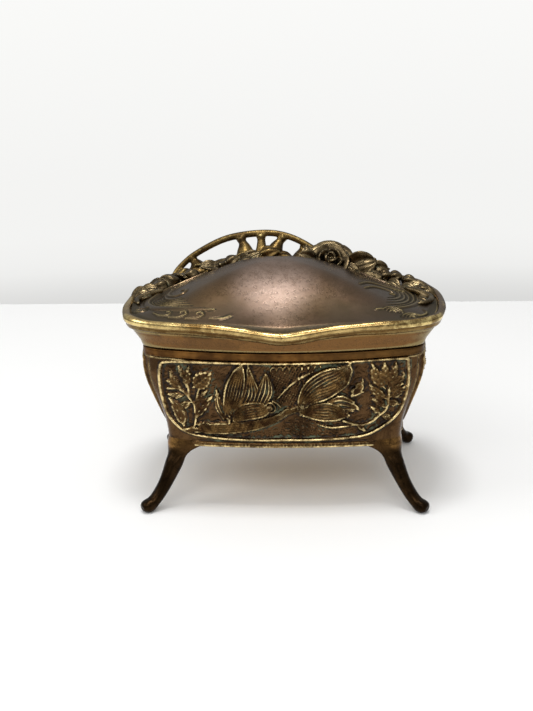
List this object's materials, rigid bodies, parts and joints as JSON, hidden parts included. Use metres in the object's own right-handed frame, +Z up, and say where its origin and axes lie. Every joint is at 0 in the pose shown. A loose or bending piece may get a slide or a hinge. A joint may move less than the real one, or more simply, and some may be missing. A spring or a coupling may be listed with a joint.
{
  "type": "vanity trinket box",
  "caption": "Cast-metal jewel casket on four splayed legs, with flower relief on its walls and a domed lid that lifts on rear hinges over a padded lining.",
  "frame": {"origin": "under the middle of the box, on the surface it stands on", "axes": "+X to the right seen from the front, +Y to the hinges at the rear, +Z up"},
  "size_m": [0.1438, 0.0916, 0.1089],
  "materials": {
    "gilt_brass": "old gilt brass, worn bright on the high places",
    "brown_bronze": "brown bronze patina, satin",
    "chased_bronze": "chased bronze, gilt on the ridges, dark and green in the hollows",
    "red_bronze": "red-gold bronze, rubbed",
    "dark_bronze": "dark bronze, rubbed along the ridges",
    "sheet_brass": "dull sheet brass",
    "steel": "plain wire, dulled",
    "lining_card": "pulp board",
    "silk": "faded rose silk over wadding"
  },
  "bodies": {
    "box": {"wall_front": "chased_bronze", "wall_right": "chased_bronze", "wall_rear": "chased_bronze", "wall_left": "chased_bronze", "mouth_band": "red_bronze", "leg_front_left": "dark_bronze", "leg_front_right": "dark_bronze", "leg_rear_left": "dark_bronze", "leg_rear_right": "dark_bronze", "base_plate": "sheet_brass", "floor_card": "lining_card", "floor_cushion": "silk", "lining_front": "silk", "lining_right": "silk", "lining_rear": "silk", "lining_left": "silk", "lining_gimp": "silk", "hinge_left_body_leaf": "sheet_brass", "hinge_right_body_leaf": "sheet_brass", "hinge_left_pin": "steel", "hinge_right_pin": "steel"},
    "lid": {"hinge_left_lid_leaf": "sheet_brass", "hinge_right_lid_leaf": "sheet_brass", "lid_shell": "brown_bronze", "lid_rim_bead": "gilt_brass", "lid_crest": "gilt_brass", "lid_rose": "chased_bronze", "lid_folded_leaf": "chased_bronze", "lid_garland_right": "chased_bronze", "lid_garland_left": "chased_bronze", "lid_bud_left": "chased_bronze", "lid_lining_card": "lining_card", "lid_lining_pad": "silk"}
  },
  "joints": [
    {"name": "lid_hinge", "type": "hinge", "parent": "box", "child": "lid", "pos_m": [0, 0.0429, 0.07375], "axis": [-1, 0, 0], "range_deg": [0, 105]}
  ]
}
